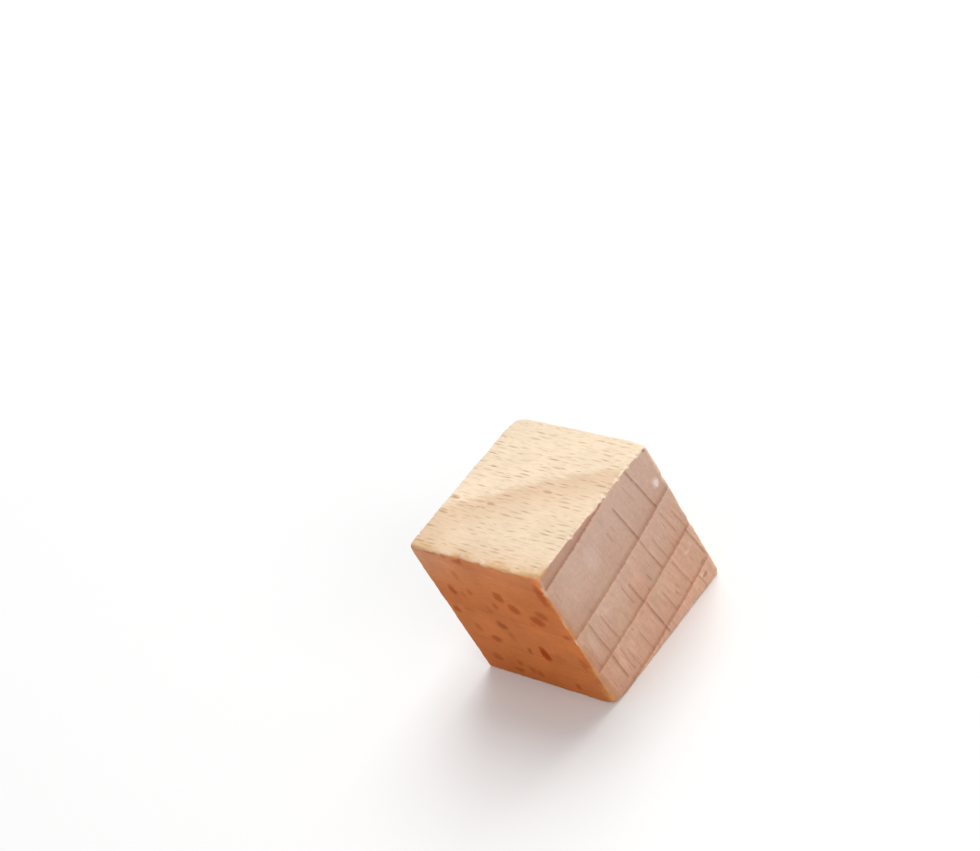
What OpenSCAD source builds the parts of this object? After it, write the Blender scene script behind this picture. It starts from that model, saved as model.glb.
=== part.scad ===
// Small plain cube of solid wood, sawn square and sanded, with worn corners and edges.
// The grain runs along X, so the faces at the two ends of X show end grain.
// The origin is the middle of the underside, and Z is up.

/* [Cube] */
// Edge length, the same along the grain and across it
edge = 25; // [12:0.5:60]

/* [Eased edges] */
// Radius that sanding leaves on every edge
ease_r = 0.4; // [0.1:0.05:1]

/* [Worn corners of the top face] */
// How far the flat on the front corner at the +X end reaches along its edges
front_end_wear = 0.8; // [0.4:0.1:2]
// The same on the front corner at the -X end
front_start_wear = 0.6; // [0.4:0.1:2]
// The same on the back corner at the +X end
back_end_wear = 1; // [0.4:0.1:2]
// The same on the back corner at the -X end
back_start_wear = 1.1; // [0.4:0.1:2]

/* [Worn corners of the underside] */
// How far the flat on the back corner at the +X end reaches along its edges
low_back_wear = 0.8; // [0.4:0.1:2]

/* [Torn edge] */
// Length of the dip where fibres tore out of the top front edge
tear_length = 3; // [1:0.1:6]
// Depth of that dip below the eased edge
tear_depth = 0.2; // [0.05:0.05:0.4]
// Where its middle lies, as a share of the edge from the -X end
tear_place = 0.4; // [0.2:0.05:0.8]

/* [Nick] */
// Length of the nick in the upright back edge at the +X end
nick_length = 1.6; // [0.5:0.1:4]
// Depth of that nick below the eased edge
nick_depth = 0.25; // [0.05:0.05:0.4]
// Where its middle lies, as a share of the height
nick_place = 0.4; // [0.2:0.05:0.8]

/* [Hidden] */
$fn = 64;

half = edge / 2;
// Depth of the eased edge below the sharp one that two faces would make
ease_drop = ease_r * (sqrt(2) - 1);

// Each worn corner: which side it is on along X, Y and Z, and its reach along the edges
worn_corners = [
    [[1, -1, 1], front_end_wear],
    [[-1, -1, 1], front_start_wear],
    [[1, 1, 1], back_end_wear],
    [[-1, 1, 1], back_start_wear],
    [[1, 1, -1], low_back_wear],
];

// Square with round corners, the cube's outline in each of three directions
module outline() {
    inner = edge - 2 * ease_r;
    square([edge, inner], center = true);
    square([inner, edge], center = true);
    for (x = [-1, 1], y = [-1, 1])
        translate([x * inner / 2, y * inner / 2]) circle(r = ease_r);
}

// Prism of that outline, centred, running along Z
module outline_prism() {
    linear_extrude(height = edge, center = true) outline();
}

// Cube with its twelve edges rounded
module eased_cube() {
    intersection() {
        outline_prism();
        rotate([90, 0, 0]) outline_prism();
        rotate([0, 90, 0]) outline_prism();
    }
}

// What wear takes off a corner: all that lies past a plane across its three edges
module corner_wear(side, reach) {
    translate(side * half)
        rotate([0, acos(side.z / sqrt(3)), atan2(side.y, side.x)])
            translate([-reach, -reach, -reach / sqrt(3)])
                cube([2 * reach, 2 * reach, reach]);
}

// A shallow round dip across an edge that runs along X and faces up
module edge_dip(length, depth) {
    dip_r = (length * length / 4 + depth * depth) / (2 * depth);
    translate([0, 0, dip_r - depth - ease_drop])
        rotate([90, 0, 0]) cylinder(r = dip_r, h = 2 * (ease_r + depth + length), center = true);
}

module wooden_cube() {
    color("burlywood")
        translate([0, 0, half])
            difference() {
                eased_cube();
                for (corner = worn_corners) corner_wear(corner[0], corner[1]);
                translate([(tear_place - 0.5) * edge, -half, half])
                    rotate([45, 0, 0]) edge_dip(tear_length, tear_depth);
                translate([half, half, (nick_place - 0.5) * edge])
                    rotate([0, 90, 45]) edge_dip(nick_length, nick_depth);
            }
}

wooden_cube();
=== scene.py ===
"""A small cube of solid beech on a pale studio floor.

X runs along the grain, so the two X faces are end grain. Y runs to the back and Z up. Lengths in
the wood's patterns and wear are millimetres, counted from the middle of the cube.
"""
import math

import bmesh
import bpy
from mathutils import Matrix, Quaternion, Vector, noise


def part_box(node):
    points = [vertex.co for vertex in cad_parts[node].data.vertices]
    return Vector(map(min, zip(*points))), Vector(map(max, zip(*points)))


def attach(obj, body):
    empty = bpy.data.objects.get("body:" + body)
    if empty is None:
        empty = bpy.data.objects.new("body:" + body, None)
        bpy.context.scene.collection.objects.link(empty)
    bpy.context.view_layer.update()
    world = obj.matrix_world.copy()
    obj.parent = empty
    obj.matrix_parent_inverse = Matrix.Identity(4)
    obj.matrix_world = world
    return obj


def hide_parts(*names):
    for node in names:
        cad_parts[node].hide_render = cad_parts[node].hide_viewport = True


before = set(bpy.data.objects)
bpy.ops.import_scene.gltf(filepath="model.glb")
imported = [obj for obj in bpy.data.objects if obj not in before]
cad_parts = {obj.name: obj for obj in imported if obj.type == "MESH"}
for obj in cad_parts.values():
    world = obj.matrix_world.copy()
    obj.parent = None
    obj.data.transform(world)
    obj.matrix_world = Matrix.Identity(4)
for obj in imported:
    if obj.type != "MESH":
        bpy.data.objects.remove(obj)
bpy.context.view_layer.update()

MM = 0.001
low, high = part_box("wooden_cube")
MIDDLE = (low + high) / 2
EDGE = high.x - low.x
HALF = EDGE / MM / 2  # half an edge, in millimetres


# ---------------------------------------------------------------- shader expressions

class Value:
    """An output socket that Python's operators work on. Each operator adds its Math node."""

    def __init__(self, shader, socket):
        self.shader = shader
        self.socket = socket

    def __add__(self, other):
        return self.shader.math("ADD", self, other)

    def __sub__(self, other):
        return self.shader.math("SUBTRACT", self, other)

    def __mul__(self, other):
        return self.shader.math("MULTIPLY", self, other)

    def __truediv__(self, other):
        return self.shader.math("DIVIDE", self, other)

    def __pow__(self, other):
        return self.shader.math("POWER", self, other)

    def __rsub__(self, other):
        return self.shader.math("SUBTRACT", other, self)

    __radd__ = __add__
    __rmul__ = __mul__


class Shader:
    """The node tree of a material or of the world."""

    def __init__(self, owner):
        owner.use_nodes = True
        self.tree = owner.node_tree
        self.tree.nodes.clear()

    def node(self, kind, settings=None, sockets=(), out=0):
        """Adds a node: its settings first, then its sockets' values or links.

        Returns the output that out names, or a list of outputs if it names several.
        """
        node = self.tree.nodes.new(kind)
        for name, setting in (settings or {}).items():
            setattr(node, name, setting)
        pairs = sockets.items() if isinstance(sockets, dict) else enumerate(sockets)
        for name, content in pairs:
            if isinstance(content, Value):
                self.tree.links.new(content.socket, node.inputs[name])
            else:
                node.inputs[name].default_value = content
        if isinstance(out, tuple):
            return [Value(self, node.outputs[name]) for name in out]
        return Value(self, node.outputs[out]) if node.outputs else None

    def math(self, operation, *terms):
        return self.node("ShaderNodeMath", {"operation": operation}, terms)

    def most(self, first, *others):
        for other in others:
            first = self.math("MAXIMUM", first, other)
        return first

    def vector(self, operation, *terms):
        return self.node("ShaderNodeVectorMath", {"operation": operation}, terms)

    def length(self, vector):
        return self.node("ShaderNodeVectorMath", {"operation": "LENGTH"}, (vector,), "Value")

    def scale(self, vector, factor):
        return self.node("ShaderNodeVectorMath", {"operation": "SCALE"}, {0: vector, "Scale": factor})

    def join(self, x=0.0, y=0.0, z=0.0):
        return self.node("ShaderNodeCombineXYZ", None, (x, y, z))

    def split(self, vector):
        return self.node("ShaderNodeSeparateXYZ", None, (vector,), ("X", "Y", "Z"))

    def grey(self, value):
        return self.node("ShaderNodeCombineColor", None, (value, value, value))

    def ramp(self, value, start, end, low=0.0, high=1.0, smooth=True):
        """low up to start, high from end on, and a soft or straight passage between them."""
        kind = "SMOOTHSTEP" if smooth else "LINEAR"
        places = {"Value": value, "From Min": start, "From Max": end, "To Min": low, "To Max": high}
        return self.node("ShaderNodeMapRange", {"interpolation_type": kind}, places)

    def mix(self, factor, first, second, blend="MIX"):
        settings = {"data_type": "RGBA", "blend_type": blend}
        return self.node("ShaderNodeMix", settings, {0: factor, 6: first, 7: second}, out=2)

    def tint(self, factor, paint, tone):
        """The paint multiplied by a tone, as far as the factor says."""
        return self.mix(factor, paint, tone, "MULTIPLY")

    def strip(self, place, stops):
        """The colour and the alpha at a place from 0 to 1 on a strip, straight between its stops."""
        paint, alpha = self.node("ShaderNodeValToRGB", None, (place,), ("Color", "Alpha"))
        elements = paint.socket.node.color_ramp.elements
        elements.remove(elements[1])
        for number, (position, content) in enumerate(stops):
            element = elements.new(position) if number else elements[0]
            element.position = position
            element.color = content
        return paint, alpha

    def noise(self, place, detail=2.0, roughness=0.5):
        """Noise about 0, mostly between -0.25 and 0.25, whose lumps are about 1 across."""
        sockets = {"Vector": place, "Scale": 1.0, "Detail": detail, "Roughness": roughness}
        return self.node("ShaderNodeTexNoise", None, sockets) - 0.5

    def attribute(self, name):
        return self.node("ShaderNodeAttribute", {"attribute_name": name}, out="Fac")


def colour(red, green, blue):
    """A colour given as a screen shows it, 0 to 255, as the linear values that Blender mixes."""
    def linear(part):
        part /= 255
        return part / 12.92 if part <= 0.04045 else ((part + 0.055) / 1.055) ** 2.4
    return (linear(red), linear(green), linear(blue), 1.0)


# ---------------------------------------------------------------- beech

# The growth rings are cylinders about the pith, which lies above the cube and in front of it. The
# rays fan out from a place beside it, as they meet the rings a little askew.
PITH_Y = -34.0
FAN_Y = -27.5
PITH_UP = 212.0  # above the middle of the end grain at +X
PITH_LEAN = 0.045  # how much lower the pith lies for each millimetre towards +X
RING_ENDS = (193.0, 203.15, 212.45, 219.4, 225.75, 232.0)  # how far from the pith each ring ends
RING_FADE = 0.035  # how far a ring's dark end runs over into the next ring, in years

# Spindles of ray tissue: how long along the grain, how wide across the fan and how tall along it
# the cell is that holds one, and half the spindle's own length, width and height
SPINDLE_CELL = (2.8, 0.7, 9.0)
SPINDLE_HALF = (1.15, 0.15, 6.5)

# Ray lines on the end grain at +X: where each crosses mid-height, its middle in Z, half width and
# half height, and strength
END_RAYS = (
    (-11.7, -3.5, 0.3, 2.6, 0.45),
    (-10.4, 7.7, 0.25, 1.1, 0.3),
    (-9.5, -8.6, 0.35, 2.5, 0.85),
    (-9.3, -2.7, 0.3, 3.5, 0.75),
    (-8.3, -2.6, 0.22, 1.6, 0.4),
    (-8.0, -8.8, 0.3, 2.4, 0.6),
    (-7.2, -2.4, 0.3, 2.5, 0.75),
    (-7.1, -9.7, 0.25, 2.2, 0.55),
    (-4.4, -3.9, 0.25, 1.5, 0.4),
    (-4.2, -9.6, 0.28, 2.3, 0.55),
    (-2.2, -1.7, 0.28, 1.8, 0.65),
    (-1.6, 6.6, 0.22, 2.6, 0.25),
    (-1.1, -2.8, 0.32, 2.3, 0.8),
    (-0.9, -8.5, 0.35, 3.6, 0.95),
    (0.7, -4.0, 0.25, 0.6, 0.4),
    (1.3, 7.2, 0.35, 0.9, 0.5),
    (1.9, -2.8, 0.25, 0.8, 0.55),
    (2.0, -8.4, 0.3, 2.2, 0.7),
    (2.5, 7.7, 0.25, 0.7, 0.4),
    (3.0, -0.8, 0.22, 0.9, 0.4),
    (4.3, -0.5, 0.32, 3.4, 0.85),
    (4.4, 6.4, 0.35, 3.7, 0.95),
    (5.9, -1.1, 0.3, 2.4, 0.65),
    (5.9, -6.1, 0.3, 1.9, 0.65),
    (7.7, 9.3, 0.25, 1.7, 0.4),
    (9.3, 0.8, 0.28, 2.4, 0.6),
    (9.6, 8.2, 0.38, 4.4, 1.0),
    (10.2, 1.6, 0.22, 1.7, 0.4),
    (10.5, -5.4, 0.35, 3.1, 0.9),
    (10.8, -0.5, 0.28, 2.2, 0.6),
)

# Ray flecks on the front face, and a painted shade line under its top edge: place in X and Z,
# half width, half height, strength
FRONT_FLECKS_AND_SHADE = (
    (-8.8, 4.6, 0.78, 1.15, 1.0),
    (-6.8, 4.3, 0.65, 0.6, 0.35),
    (-5.0, 5.2, 0.52, 0.7, 0.5),
    (-5.8, 8.3, 0.65, 1.0, 0.45),
    (1.1, 5.9, 0.98, 1.2, 1.0),
    (3.0, 4.0, 1.17, 1.1, 1.0),
    (-1.0, 3.5, 0.59, 0.7, 0.7),
    (-3.0, 2.3, 0.52, 1.0, 0.4),
    (6.7, 2.7, 1.5, 1.15, 1.0),
    (8.4, 4.3, 1.3, 0.95, 0.75),
    (5.2, 1.6, 0.65, 0.4, 0.4),
    (-10.8, 0.1, 0.91, 0.8, 0.95),
    (-7.8, 0.8, 1.3, 0.45, 0.45),
    (-2.4, -0.8, 1.1, 0.95, 0.95),
    (-8.4, -3.0, 0.65, 1.1, 0.5),
    (-5.9, -4.6, 1.1, 0.75, 1.0),
    (-1.7, -2.8, 0.65, 1.2, 0.5),
    (0.3, -5.2, 0.45, 0.8, 0.8),
    (6.0, -4.8, 1.56, 0.9, 0.3),
    (10.9, 0.7, 0.78, 0.5, 0.65),
    (-5.7, 12.1, 0.65, 0.3, 0.5),
    (-8.6, -9.2, 1.04, 0.9, 0.7),
    (-4.1, -9.1, 0.65, 0.6, 0.55),
    (-2.1, -9.9, 0.65, 0.95, 0.6),
    (-0.8, -10.3, 0.65, 0.85, 0.6),
    (-5.4, -10.9, 1.04, 0.6, 0.85),
    (6.4, -10.6, 0.59, 0.75, 0.75),
    # Painted shade: a thin dark line just under the top edge
    (-8.2, 12.1, 1.6, 0.25, 0.6),
)

# The same for the places where the front face is stained red
RED_STAINS = (
    (3.5, -4.8, 0.9, 1.6, 1.0),
    (11.3, 9.0, 1.0, 2.4, 0.6),
    (10.9, -4.6, 0.7, 1.6, 0.3),
    (-3.2, 11.7, 1.3, 0.5, 0.5),
)

# Hairline cracks on the top face, as short strokes: place in X and Y, half lengths, strength
TOP_CRACKS = (
    (-11.3, -3.0, 1.1, 0.08, 0.9),
    (-9.4, -3.5, 1.1, 0.07, 0.9),
    (-7.4, -3.9, 1.3, 0.07, 0.9),
    (-5.6, -3.7, 1.1, 0.06, 0.6),
    (-9.2, 3.35, 1.2, 0.07, 0.9),
    (-6.9, 2.6, 1.0, 0.06, 0.6),
    (-5.2, 2.15, 0.9, 0.07, 0.8),
    (-11.2, 5.5, 1.3, 0.08, 0.8),
    (3.2, 1.25, 1.0, 0.25, 0.6),
    (-4.4, -2.75, 0.9, 0.2, 0.6),
)

# Bruised spots on the end grain at +X, two low down, one large and faint, and one in the upper
# corner: place in Y and Z, half lengths, strength
END_BRUISES = (
    (10.1, -10.6, 0.55, 0.45, 0.6),
    (10.6, -8.8, 0.4, 0.35, 0.4),
    (-7.6, 2.3, 1.6, 1.3, 0.15),
    (11.6, 12.05, 0.4, 0.25, 0.8),
)

# The same for its pale spots: two broad hazes, a bright spot in a faint ring, and scuffs low down
END_PALE_SPOTS = (
    (-10.3, -3.0, 0.7, 3.0, 0.12),
    (-3.8, 7.3, 1.6, 2.2, 0.12),
    (10.6, 6.9, 0.75, 1.0, 0.3),
    (10.75, 6.8, 0.5, 0.75, 0.85),
    (9.7, -10.2, 0.4, 0.25, 0.35),
    (9.4, -5.4, 0.6, 0.3, 0.3),
    (10.5, -4.8, 0.3, 0.6, 0.25),
)

MARK_MARGIN = 1.3  # how far a mark's faint rim reaches, in half widths
MARKS_IN_ROW = 10  # a strip of colours holds 32 stops, and each mark takes three

# The wood's colours, some of which also hold painted light, as noted
TANGENTIAL_FACE = colour(248, 226, 198)
# Partly the wood and partly painted light: the front's radial colour also holds a warm bounce light
RADIAL_FACE_AND_WARM_BOUNCE = colour(229, 136, 77)
RADIAL_FACE_BEHIND = colour(228, 182, 142)
# The end grain is greyer above and warmer below; the greyer colour above also paints a sheen there
END_FACE_ABOVE = colour(216, 183, 166)
END_FACE_BELOW = colour(221, 177, 153)
END_FACE_OCHRE = colour(219, 186, 152)
# Pale of rubbed edges, also the colour of a painted highlight along the end's back edge
RUBBED_AND_LIT_EDGE = colour(247, 222, 196)
DULL_RIM = colour(220, 176, 124)
# The rim's colour on the front, warmer because it holds the same painted warm bounce light
DULL_RIM_IN_FRONT = colour(236, 164, 98)
DULL_RIM_AT_END = colour(206, 148, 108)
PALE_SPOT = colour(252, 238, 232)

# What growth, use, stains and painted shade multiply them by
LATE_ON_LONG_GRAIN = colour(240, 230, 222)
LATE_ON_END = colour(224, 207, 199)
OLDEST_RING = colour(243, 234, 228)
RAY_ON_LONG_GRAIN = colour(196, 174, 150)
RAY_ON_END = colour(196, 176, 164)
# Painted warm shade towards the front edge of the top and the end
WARM_SHADE_TOWARDS_FRONT = colour(249, 243, 237)
# Painted shade low on the front face
LOW_FRONT_SHADE = colour(244, 236, 218)
# The flecks' tone, also used for the painted shade line under the front's top edge
FLECK_AND_EDGE_SHADE = colour(218, 184, 124)
STAIN = colour(212, 140, 62)


def rows_of(places):
    """Sorts marks into rows in which none meets the next, as a strip of colours holds one row."""
    rows = []
    for mark in sorted(places):
        start = mark[0] - MARK_MARGIN * mark[2]
        for row in rows:
            last = row[-1]
            if last[0] + MARK_MARGIN * last[2] < start and len(row) < MARKS_IN_ROW:
                row.append(mark)
                break
        else:
            rows.append([mark])
    return rows


def read_rows(shader, across, up, places, signed=False):
    """For each row of marks, what a point finds there: how far aside and how far up it lies from
    its mark, and the mark's strength.

    A strip of colours holds a row. How far aside is a share of the mark's reach, from 0 in its
    middle to 1 at both sides, or, if signed, from 0 at one side to 1 at the other. How far up is
    the square of a share of its half height.
    """
    across = across / (2 * HALF) + 0.5
    up = up / (2 * HALF) + 0.5
    for row in rows_of(places):
        stops = []
        for place_across, place_up, half_width, half_height, strength in row:
            for side in (-1, 0, 1):
                position = (place_across + side * MARK_MARGIN * half_width) / (2 * HALF) + 0.5
                aside = (side + 1) / 2 if signed else abs(side)
                shown = strength * (1 - abs(side)) if signed else strength
                middle = place_up / (2 * HALF) + 0.5
                stops.append((position, (aside, middle, half_height / (2 * HALF), shown)))
        strip, strength = shader.strip(across, stops)
        aside, middle, reach = shader.node(
            "ShaderNodeSeparateColor", None, (strip,), ("Red", "Green", "Blue"))
        share = (up - middle) / reach
        yield aside, share * share, strength


def marks(shader, across, up, places):
    """Soft oval marks on a face, given as place across and up, half width, half height, strength."""
    shown = 0.0
    for aside, share, strength in read_rows(shader, across, up, places):
        distance = aside * aside * MARK_MARGIN ** 2 + share
        shown = shader.math("MAXIMUM", shader.ramp(distance, 1.4, 0.1) * strength, shown)
    return shown


def ray_lines(shader, across, up, places):
    """Thin dark lines and a painted highlight, a pale line beside each, from the same numbers as
    oval marks.
    """
    dark = 0.0
    pale = 0.0
    for aside, share, strength in read_rows(shader, across, up, places, signed=True):
        depth = shader.ramp(share * share * share, 1.3, 0.25) * strength
        dark = shader.math("MAXIMUM", depth * shader.ramp(aside, 0.75, 0.5), dark)
        pale = shader.math("MAXIMUM", depth * shader.ramp(aside, 0.55, 0.75), pale)
    return dark, pale


class Beech(Shader):
    """Bare beech. Its fields hold where each point lies, how the wood is cut and grown there, and
    the noises that several parts of the look share.
    """

    def __init__(self, material):
        super().__init__(material)
        position = self.node("ShaderNodeTexCoord", out="Object")
        self.place = self.scale(self.vector("SUBTRACT", position, MIDDLE), 1 / MM)
        self.x, self.y, self.z = self.split(self.place)

        self.end_grain = self.attribute("end_grain")
        self.radial = self.attribute("radial_cut")
        self.at_end = self.ramp(self.x, HALF - 1.5, HALF - 1.0) * self.end_grain
        self.at_front = self.ramp(self.y, 1.0 - HALF, 0.5 - HALF)
        self.at_top = self.ramp(self.z, HALF - 1.0, HALF - 0.5)
        self.on_front = self.at_front * self.radial
        self.front_above = self.ramp(self.z - self.x * 0.15, 4, 15) * self.on_front

        self.fibres = self.noise(self.grain_place(0.3, 2.0), 2.5, 0.6)
        self.fine = self.noise(self.grain_place(0.7, 11.0), 1.0, 0.6)
        self.lumps = self.noise(self.scale(self.place, 1.2), 1.0)
        self.mottle = self.noise(self.scale(self.place, 0.2), 1.0)

        self.years = self.growth()
        self.age = self.math("FRACT", self.years)  # of the ring, from 0 to 1 over its year
        self.ring = self.years - self.age
        self.oldest = self.ramp(self.years, 1.01, 1.0) * self.end_grain
        sway = self.noise(self.join(self.x * 0.2, self.y * 0.3, self.z * 0.12), 1.0) * 0.6
        self.fan = (self.y - FAN_Y) / (PITH_UP - self.z) * PITH_UP + sway

    def grain_place(self, along, across):
        """A place for a pattern drawn out along the grain: how many lumps a millimetre holds."""
        return self.join(self.x * along, self.y * across, self.z * across)

    def ray_place(self, across, up, shift):
        """A place for a pattern drawn out along the rays, which each ring shifts."""
        return self.join(self.x * 0.3, self.fan * across, self.z * up + self.ring * shift)

    def growth(self):
        """The years that the wood had grown when it formed each point, counted from the first ring."""
        wander = self.noise(self.scale(self.place, 0.3), 3.0) * 0.3 + self.fibres * 0.5
        across = self.y - PITH_Y
        up = PITH_UP - (self.x - HALF) * PITH_LEAN - self.z
        # Near the top face, though not on the end, rings lie nearer the pith at -X, farther at +X
        swelling = self.ramp(self.x, -HALF, 10, -0.65, 0.5, smooth=False) * self.ramp(self.x, HALF, 12)
        swelling = swelling * self.ramp(self.z, 2, HALF)
        radius = (across * across + up * up) ** 0.5 + wander - swelling
        years = 0.0
        for start, end in zip(RING_ENDS, RING_ENDS[1:]):
            years = self.ramp(radius, start, end, smooth=False) + years
        return years

    def latewood(self):
        """How dark each ring is: slowly more from a third on, most at its end, and a little way over
        into the next. On the end grain the oldest ring is half as dark until just before its end.
        """
        late = self.ramp(self.age, 0.35, 1.0) * 0.4 + self.ramp(self.age, 0.88, 0.99) * 0.6
        late = late + self.ramp(self.age, RING_FADE, 0.0)
        return late * (1.0 - self.oldest * self.ramp(self.age, 0.985, 0.95) * 0.5)

    def spindles(self):
        """One spindle of ray tissue in each cell, soft all round and clear of the cell's walls."""
        sides = (self.x, self.fan, self.z)
        cell = self.join(*(side / size for side, size in zip(sides, SPINDLE_CELL)))
        sockets = {"Vector": cell, "Scale": 1.0, "Randomness": 1.0}
        middle, tone = self.node("ShaderNodeTexVoronoi", None, sockets, ("Position", "Color"))
        chance, weight = self.node("ShaderNodeSeparateColor", None, (tone,), ("Red", "Green"))
        reach = [size / half for size, half in zip(SPINDLE_CELL, SPINDLE_HALF)]
        offset = self.vector("MULTIPLY", self.vector("SUBTRACT", cell, middle), reach)
        grown = weight * 0.9 + 0.55  # spindles differ in size
        spindle = self.ramp(self.length(offset) / grown, 1.25, 0.0)
        wall = self.node("ShaderNodeTexVoronoi", {"feature": "DISTANCE_TO_EDGE"}, sockets, "Distance")
        spindle = spindle * self.ramp(wall, 0.0, 0.07)
        return spindle * self.ramp(chance, 0.0, 1.0, 0.2, 0.8, smooth=False)

    def rays(self):
        """Dark ray tissue and cracks, and painted highlights, the pale lines beside the end grain's
        ray lines.
        """
        broad = self.spindles()
        broad = broad * (1 - self.at_end * 0.9)
        dark, pale = ray_lines(self, self.fan + FAN_Y + self.lumps * 0.12, self.z, END_RAYS)
        lines = dark * self.at_end * (0.8 + self.fibres * 1.6)
        cracks = marks(self, self.x, self.y + self.fibres * 0.9, TOP_CRACKS) * self.at_top
        rays = self.most(broad * (1 - self.at_front * 0.8), lines, cracks)
        return rays, pale * self.at_end

    def streaks(self):
        """Soft streaks and thin dark threads along the rays of the end grain, stronger below."""
        waves = self.noise(self.ray_place(1.3, 0.22, 5.0), 3.0, 0.55)
        streaks = waves * self.end_grain * self.ramp(self.z, 4, -2, 0.4, 1.15)
        threads = self.math("ABSOLUTE", self.noise(self.ray_place(1.7, 0.1, 3.0), 1.0, 0.5))
        threads = self.ramp(threads, 0.04, 0.0) * self.ramp(waves, -0.1, 0.15) * self.end_grain
        threads = threads * self.ramp(self.z, 6, -1, 0.15, 0.55)
        return streaks, threads

    def pores(self, late):
        """Vessels, which show less in the latewood."""
        sockets = {"Vector": self.grain_place(0.6, 6.0), "Scale": 1.0, "Randomness": 1.0}
        pores = self.ramp(self.node("ShaderNodeTexVoronoi", None, sockets), 0.35, 0.15)
        return pores * (0.24 - late * 0.16)

    def end_marks(self, places, ragged):
        """Marks on the end grain at +X, with their outlines made ragged."""
        across = self.y + self.lumps * ragged
        return marks(self, across, self.z + self.lumps * 0.4, places) * self.at_end

    def front_marks(self, places):
        """Marks on the front face, with ragged outlines."""
        across = self.x + self.lumps * 0.9 + self.fibres * 0.4
        return marks(self, across, self.z + self.lumps * 0.8, places) * self.on_front

    def clean_paint(self, late, streaks):
        """The colour of clean wood, by how each face is cut, with a warm bounce light painted into
        the front's colour and a sheen painted into the end grain's upper colour.
        """
        radial_paint = self.mix(self.ramp(self.y, 0, HALF), RADIAL_FACE_AND_WARM_BOUNCE, RADIAL_FACE_BEHIND)
        paint = self.mix(self.radial, TANGENTIAL_FACE, radial_paint)
        paint = self.tint(late * (1 - self.radial * 0.5), paint, LATE_ON_LONG_GRAIN)
        # Greyer above, partly as a painted sheen
        above = self.ramp(self.z + self.mottle * 20, -8, 8)
        end_paint = self.mix(above, END_FACE_BELOW, END_FACE_ABOVE)
        ochre = self.ramp(self.mottle + self.lumps * 0.4, -0.05, 0.3) * 0.4
        end_paint = self.mix(ochre, end_paint, END_FACE_OCHRE)
        end_paint = self.tint(late * (1.0 + streaks * 2.0), end_paint, LATE_ON_END)
        paint = self.mix(self.end_grain, paint, end_paint)
        return self.tint(self.oldest, paint, OLDEST_RING)

    def wear_and_light_paint(self, paint):
        """The colour after wear, with painted light and shade: painted warm shade towards the front,
        pale on rubbed edges with a painted highlight along the end's back edge, dull on rims with
        painted shade along the front's bottom edge, painted shade low on the front, and paler high up
        on the front, most of all near -X, partly as painted light.
        """
        rubbed_and_lit = self.attribute("rubbed_and_lit")
        rim = self.attribute("rim")
        # Painted warm shade on the top and the end towards the front
        paint = self.tint(self.ramp(self.y, -7, -12) * (1 - self.radial), paint, WARM_SHADE_TOWARDS_FRONT)
        paint = self.mix(rubbed_and_lit * (0.9 + self.lumps), paint, RUBBED_AND_LIT_EDGE)
        dull = self.ramp(rim + self.lumps * 0.8, 0.1, 0.9) * self.ramp(rim, 0.0, 0.2)
        rim_paint = self.mix(self.radial, DULL_RIM, DULL_RIM_IN_FRONT)
        rim_paint = self.mix(self.end_grain, rim_paint, DULL_RIM_AT_END)
        paint = self.mix(dull * 0.8, paint, rim_paint)
        # Painted shade: darker low on the front, except near +X
        below = self.ramp(self.z, -3, -10) * self.ramp(self.x, 10, 4)
        paint = self.tint(below * self.on_front, paint, LOW_FRONT_SHADE)
        # Paler high up on the front, most of all near -X: partly the wood, partly painted light
        paler_and_lit = self.front_above * self.ramp(self.x, 0, -12, 0.12, 0.3)
        return self.mix(paler_and_lit, paint, TANGENTIAL_FACE)

    def tone(self, streaks, pale):
        """What the colour is multiplied by, about 1, so that no stretch of wood is quite even. It also
        paints light and shade: a highlight beside the end grain's ray lines, the end grain brighter
        low down, the front brighter high up, and the top darker towards the back at -X.
        """
        tone = 1.0 + self.fibres * 0.22 + self.fine * 0.07 + self.mottle * (0.16 + self.radial * 0.2)
        tone = tone + self.lumps * (0.07 + self.end_grain * 0.06)
        early = self.ramp(self.age, 0.08, 0.01) * self.end_grain
        # pale is a painted highlight beside each of the end grain's ray lines
        tone = tone + streaks * 0.5 + early * 0.08 + pale * 0.13
        # Painted light: the end grain brighter low down and the front brighter high up
        tone = tone + self.ramp(self.z, -6, -12, 0.0, 0.08) * self.end_grain + self.front_above * 0.1
        # Painted shade: the top darker towards the back at -X
        return tone - self.ramp(self.y - self.x, 8, 24) * self.at_top * 0.06


def beech():
    material = bpy.data.materials.new("bare_beech")
    wood = Beech(material)
    late = wood.latewood()
    rays, pale = wood.rays()
    streaks, threads = wood.streaks()
    flecks_and_shade = wood.front_marks(FRONT_FLECKS_AND_SHADE)

    paint = wood.wear_and_light_paint(wood.clean_paint(late, streaks))
    paint = wood.tint(1.0, paint, wood.grey(wood.tone(streaks, pale)))
    ray_tone = wood.mix(wood.end_grain, RAY_ON_LONG_GRAIN, RAY_ON_END)
    paint = wood.tint(wood.most(rays, wood.pores(late), threads), paint, ray_tone)
    paint = wood.tint(wood.end_marks(END_BRUISES, 0.6), paint, RAY_ON_END)
    paint = wood.tint(flecks_and_shade, paint, FLECK_AND_EDGE_SHADE)
    paint = wood.tint(wood.front_marks(RED_STAINS), paint, STAIN)
    paint = wood.mix(wood.end_marks(END_PALE_SPOTS, 0.5) * 0.85, paint, PALE_SPOT)

    height = rays * -0.018 + wood.fibres * 0.08 + wood.fine * 0.015  # in millimetres
    relief = wood.node(
        "ShaderNodeBump", None, {"Strength": 1.0, "Distance": MM, "Height": height}, out="Normal")
    surface = wood.node("ShaderNodeBsdfPrincipled", None, {
        "Base Color": paint,
        "Roughness": 0.7 + wood.fibres * 0.2 - flecks_and_shade * 0.15,
        "Specular IOR Level": 0.1,
        "Normal": relief,
    })
    wood.node("ShaderNodeOutputMaterial", None, {"Surface": surface})
    return material


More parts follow.
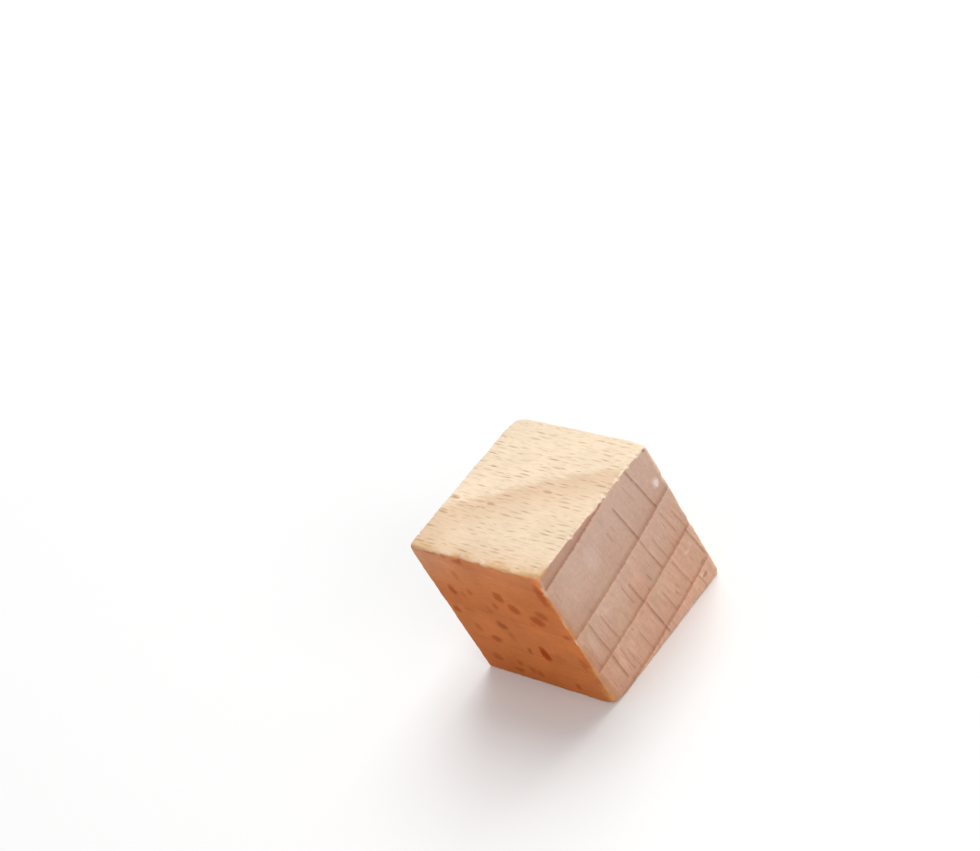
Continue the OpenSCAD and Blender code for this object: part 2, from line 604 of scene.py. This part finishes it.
# ---------------------------------------------------------------- the cube

CELLS = 20  # squares along an edge before the squares beside the edges are divided again
FINE_CELLS = 14  # parts that the sides of those outer squares are divided into
MAP_HALF = 0.48  # half a side on its square of the map, which is 1 across
EASE = 0.3  # radius of the sanded edges
LEAST_EASE = 0.1
WIDEST_EASE = 1.5  # farther than this from every edge, a face is flat
UNEVEN = ((0.14, 0.35), (0.12, 1.1), (0.03, 3.1))  # swings in the radius, and waves a millimetre
CORNER = 0.9  # how far from a corner its three edges are alike
ON_EDGE = 0.01  # a point this near an edge or a face counts as on it
PALE_EDGE_ZONE = 1.2  # how far from a listed pale edge only its own stretches say how pale it is

# Where corners and edges are worn: the place, how far it reaches, and what it adds to the radius
WEAR = (
    ((HALF, -HALF, HALF), 3.6, 0.85),
    ((-HALF, HALF, HALF), 2.5, 0.8),
    ((HALF, HALF, HALF), 2.6, 0.5),
    ((-HALF, -HALF, HALF), 1.5, 0.2),
    ((HALF, HALF, -HALF), 2.2, 0.45),
    ((HALF, -HALF, -HALF), 2.8, 0.5),
    ((-2.7, -HALF, HALF), 1.8, 0.4),
    ((HALF, HALF, -2.4), 1.2, 0.4),
)

# Edges unlike the rest: the two faces they join, what wear adds to the radius everywhere, what
# chips add to it, and chip length
ROUGH_EDGES = (
    ((0, -1, 1), 0.1, 0.35, 2.0),
    ((1, 0, 1), 0.0, 0.45, 0.7),
    ((1, -1, 0), 0.0, 0.4, 1.8),
    ((-1, 0, 1), 0.0, 0.3, 0.7),
    ((0, 1, 1), -0.1, 0.2, 1.5),
    ((1, 1, 0), 0.3, 0.15, 1.2),
    ((1, 0, -1), 0.0, 0.2, 1.0),
)

# Edges that are rubbed pale, the end's back edge partly with a painted highlight: the two faces
# they join, how far onto them the paleness reaches, and its stretches, each as its middle, half
# length and paleness
RUBBED_AND_LIT = (
    # The end's back edge: partly rubbed, partly a painted highlight
    ((1, 1, 0), 0.7, ((8.5, 5.0, 1.0), (-1.0, 5.0, 0.6), (-9.0, 4.0, 0.6))),
    ((0, -1, 1), 0.1, ((-8.0, 4.0, 0.6), (2.4, 1.0, 0.55), (6.5, 2.0, 0.3))),
    ((1, -1, 0), 0.1, ((9.7, 1.2, 0.6), (3.8, 1.3, 0.6), (0.2, 0.7, 1.0), (-9.0, 4.5, 0.5))),
)

# Edges with a dull rim, and painted shade along the front's bottom edge: the two faces they
# join, the axis that the rim's face looks along, how wide the rim is, and the stretches that have
# it, each as its middle, half length and dullness
RIMS = (
    ((0, -1, 1), 2, 2.0, ((11.5, 5.0, 1.2), (-10.5, 5.0, 0.9), (5.0, 3.5, 1.1), (-2.0, 4.0, 0.8))),
    ((1, 0, 1), 2, 1.8, ((-13.0, 4.0, 1.0),)),
    ((1, 0, 1), 0, 1.0, ((-12.0, 2.4, 1.6),)),
    ((1, -1, 0), 1, 1.9, ((-11.5, 4.5, 1.3), (-6.0, 1.2, 0.8), (8.5, 1.5, 0.5), (3.0, 2.0, 0.4))),
    ((1, -1, 0), 0, 1.4, ((-11.0, 6.0, 1.5), (-3.0, 3.5, 1.0), (2.0, 3.0, 1.1), (6.0, 5.0, 0.9))),
    # Painted shade along the front's bottom edge
    ((0, -1, -1), 1, 1.2, ((0.0, 14.0, 0.4),)),
)


def clamp(value, lowest, highest):
    return max(lowest, min(highest, value))


def distance_from_edge(point, sides):
    """How far a point of the sharp cube is from the edge between two faces."""
    return math.hypot(*(HALF - side * part for side, part in zip(sides, point) if side))


def place_along(point, sides):
    """Where a point of the sharp cube lies along the edge between two faces."""
    return sum(part for side, part in zip(sides, point) if not side)


def most_along(point, sides, stretches):
    """The most that an edge's stretches, each with a middle, half length and strength, give."""
    most = 0.0
    for middle, reach, strength in stretches:
        share = (place_along(point, sides) - middle) / reach
        most = max(most, strength * (1 - share * share))
    return most


def dullness(point):
    """How dull the rim of an edge has made a point of the sharp cube; along the front's bottom edge
    this is painted shade.
    """
    most = 0.0
    for sides, axis, width, stretches in RIMS:
        near = 1 - distance_from_edge(point, sides) / width
        if near > 0 and abs(point[axis]) > HALF - ON_EDGE:
            most = max(most, near * most_along(point, sides, stretches))
    return most


def paleness(point, normal):
    """How pale rubbing, and along the end's back edge a painted highlight, make an edge at a point
    of the sharp cube, given the worn one's normal.
    """
    rounded = clamp((0.97 - max(abs(part) for part in normal)) / 0.15, 0, 1)
    for sides, reach, stretches in RUBBED_AND_LIT:
        distance = distance_from_edge(point, sides)
        if distance < PALE_EDGE_ZONE:
            near = clamp(1.3 - distance / reach, 0, 1)
            return max(rounded, near) * most_along(point, sides, stretches)
    return rounded * clamp(0.5 + 2.5 * noise.noise(point * 0.5), 0, 1)


def cuts(point, normal):
    """How far end grain and how far a radial cut shows, given the worn point's normal.

    Where the front's edges are rounded, its colour, with the warm bounce light painted into it,
    reaches farther round than elsewhere.
    """
    start = 0.15 + 0.42 * abs(normal.z) if point.y < 0 else 0.7
    end_grain = clamp((abs(normal.x) - 0.7) / 0.2, 0, 1)
    return end_grain, clamp((abs(normal.y) - start) / 0.2, 0, 1)


def ease_on_edge(point):
    """Radius of the edge at a point on an edge of the sharp cube."""
    pulled = Vector(clamp(part * HALF / (HALF - CORNER), -HALF, HALF) for part in point)
    ease = EASE
    for swing, waves in UNEVEN:
        ease += swing * noise.noise(pulled * waves)
    for place, reach, extra in WEAR:
        share = (point - Vector(place)).length / reach
        if share < 1:
            ease += extra * (1 - share * share) ** 2
    for number, (sides, steady, extra, chip) in enumerate(ROUGH_EDGES):
        if distance_from_edge(point, sides) < ON_EDGE:
            along = place_along(point, sides)
            shown = clamp(HALF - CORNER - abs(along), 0, 1)
            ripple = noise.noise(Vector((along / chip, number * 7.3, 0)))  # 7.3 sets edges apart
            ease += shown * (steady + extra * clamp(ripple * 2.2 - 0.1, 0, 1))
    return max(ease, LEAST_EASE)


def ease_at(point):
    """Radius of the edge near a point of the sharp cube, as at the nearest points on the edges."""
    flat = max(range(3), key=lambda axis: abs(point[axis]))
    weights = 0.0
    total = 0.0
    for axis in range(3):
        distance = HALF - abs(point[axis])
        if axis != flat and distance < WIDEST_EASE:
            on_edge = point.copy()
            on_edge[axis] = math.copysign(HALF, point[axis])
            weight = 1 / (distance * distance + 1e-9)
            weights += weight
            total += weight * ease_on_edge(on_edge)
    return total / weights if weights else LEAST_EASE


def worn(point):
    """Where sanding and wear leave a point of the sharp cube."""
    ease = ease_at(point)
    core = Vector(clamp(part, ease - HALF, HALF - ease) for part in point)
    return core + (point - core).normalized() * ease


def grid_cube():
    """A cube from -1 to 1 as a grid of squares, with finer ones beside the edges."""
    cube = bmesh.new()
    bmesh.ops.create_cube(cube, size=2)
    bmesh.ops.subdivide_edges(cube, edges=cube.edges[:], cuts=CELLS - 1, use_grid_fill=True)
    outer = [
        face for face in cube.faces
        if sorted(abs(part) for part in face.calc_center_median())[1] > 1 - 2 / CELLS
    ]
    sides = list(dict.fromkeys(edge for face in outer for edge in face.edges))
    bmesh.ops.subdivide_edges(cube, edges=sides, cuts=FINE_CELLS - 1, use_grid_fill=True)
    cube.normal_update()
    return cube


def lay_out(cube):
    """Maps the six sides of a cube from -1 to 1 onto squares, three across and two up."""
    bake_map = cube.loops.layers.uv.new("OFBake")
    for face in cube.faces:
        axis = max(range(3), key=lambda i: abs(face.normal[i]))
        side = face.normal[axis] > 0
        u_axis, v_axis = [i for i in range(3) if i != axis]
        for loop in face.loops:
            u = (axis + 0.5 + MAP_HALF * loop.vert.co[u_axis]) / 3
            v = (side + 0.5 + MAP_HALF * loop.vert.co[v_axis]) / 2
            loop[bake_map].uv = (u, v)


def build_cube():
    cube = grid_cube()
    lay_out(cube)
    for face in cube.faces:
        face.smooth = True
    end_grain = cube.verts.layers.float.new("end_grain")
    radial = cube.verts.layers.float.new("radial_cut")
    rubbed_and_lit = cube.verts.layers.float.new("rubbed_and_lit")
    rim = cube.verts.layers.float.new("rim")
    sharp = [vert.co * HALF for vert in cube.verts]
    for vert, point in zip(cube.verts, sharp):
        vert.co = MIDDLE + worn(point) * MM
    cube.normal_update()
    for vert, point in zip(cube.verts, sharp):
        vert[end_grain], vert[radial] = cuts(point, vert.normal)
        vert[rubbed_and_lit] = paleness(point, vert.normal)
        vert[rim] = dullness(point)
    mesh = bpy.data.meshes.new("beech_cube")
    cube.to_mesh(mesh)
    cube.free()
    piece = bpy.data.objects.new("beech_cube", mesh)
    bpy.context.scene.collection.objects.link(piece)
    piece.data.materials.append(beech())
    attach(piece, "root")
    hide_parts("wooden_cube")


# ---------------------------------------------------------------- studio

CAMERA_PLACE = Vector((9.94, -5.62, 8.68))  # from the middle of the cube, in edges
CAMERA_AIM = Vector((-0.377, 0.264, 0.681))
CAMERA_ROLL = math.radians(32.2)
LENS_MM = 96.76
SENSOR_MM = 36
LENS_SHIFT = (-0.0016, 0.0007)  # in picture widths

# Lamps: direction from the cube, distance and size in metres, and level
LAMPS = {
    "key": ((-0.1, 0.55, 0.83), 1.0, 0.75, 0.72),
    "side": ((0.9, -0.1, 0.35), 1.0, 0.6, 0.25),
}
AIR_LEVEL = 0.45  # of the even light from all round
FLOOR_RADIUS = 1.6  # metres
FLOOR_TONE = colour(228, 222, 216)  # the floor as it lights the cube; the camera sees it as white
WHITE = (1, 1, 1, 1)


def add_camera():
    camera = bpy.data.objects.new("camera", bpy.data.cameras.new("camera"))
    bpy.context.scene.collection.objects.link(camera)
    camera.data.sensor_width = SENSOR_MM
    camera.data.lens = LENS_MM
    camera.data.shift_x, camera.data.shift_y = LENS_SHIFT
    camera.data.clip_start = 0.01
    camera.location = MIDDLE + CAMERA_PLACE * EDGE
    level = (CAMERA_AIM - CAMERA_PLACE).to_track_quat("-Z", "Y")
    camera.rotation_mode = "QUATERNION"
    camera.rotation_quaternion = level @ Quaternion((0, 0, 1), -CAMERA_ROLL)
    bpy.context.scene.camera = camera


def add_lamp(name, towards, distance, size, level):
    """A square soft lamp: level is how brightly it alone would show white card that faces it."""
    lamp = bpy.data.lights.new(name, "AREA")
    lamp.shape = "SQUARE"
    lamp.size = size
    lamp.energy = level * math.pi ** 2 * distance ** 2
    holder = bpy.data.objects.new(name, lamp)
    bpy.context.scene.collection.objects.link(holder)
    direction = Vector(towards).normalized()
    holder.location = MIDDLE + direction * distance
    holder.rotation_euler = direction.to_track_quat("Z", "Y").to_euler()


def add_world():
    """Even light from all round, which the camera sees as white."""
    world = bpy.data.worlds.new("studio")
    bpy.context.scene.world = world
    shader = Shader(world)
    seen = shader.node("ShaderNodeLightPath", out="Is Camera Ray")
    level = shader.ramp(seen, 0, 1, AIR_LEVEL, 1.0, smooth=False)
    air = shader.node("ShaderNodeBackground", None, {"Color": WHITE, "Strength": level})
    shader.node("ShaderNodeOutputWorld", None, {"Surface": air})


def add_floor():
    floor = bmesh.new()
    bmesh.ops.create_circle(floor, cap_ends=True, segments=64, radius=FLOOR_RADIUS)
    mesh = bpy.data.meshes.new("floor")
    floor.to_mesh(mesh)
    floor.free()
    ground = bpy.data.objects.new("floor", mesh)
    bpy.context.scene.collection.objects.link(ground)
    material = bpy.data.materials.new("pale_floor")
    shader = Shader(material)
    seen = shader.node("ShaderNodeLightPath", out="Is Camera Ray")
    tone = shader.mix(seen, FLOOR_TONE, WHITE)
    surface = shader.node("ShaderNodeBsdfPrincipled", None, {"Base Color": tone, "Roughness": 0.9})
    shader.node("ShaderNodeOutputMaterial", None, {"Surface": surface})
    mesh.materials.append(material)


build_cube()
add_floor()
add_world()
for name, lamp in LAMPS.items():
    add_lamp(name, *lamp)
add_camera()

bpy.context.scene.view_settings.view_transform = "Standard"
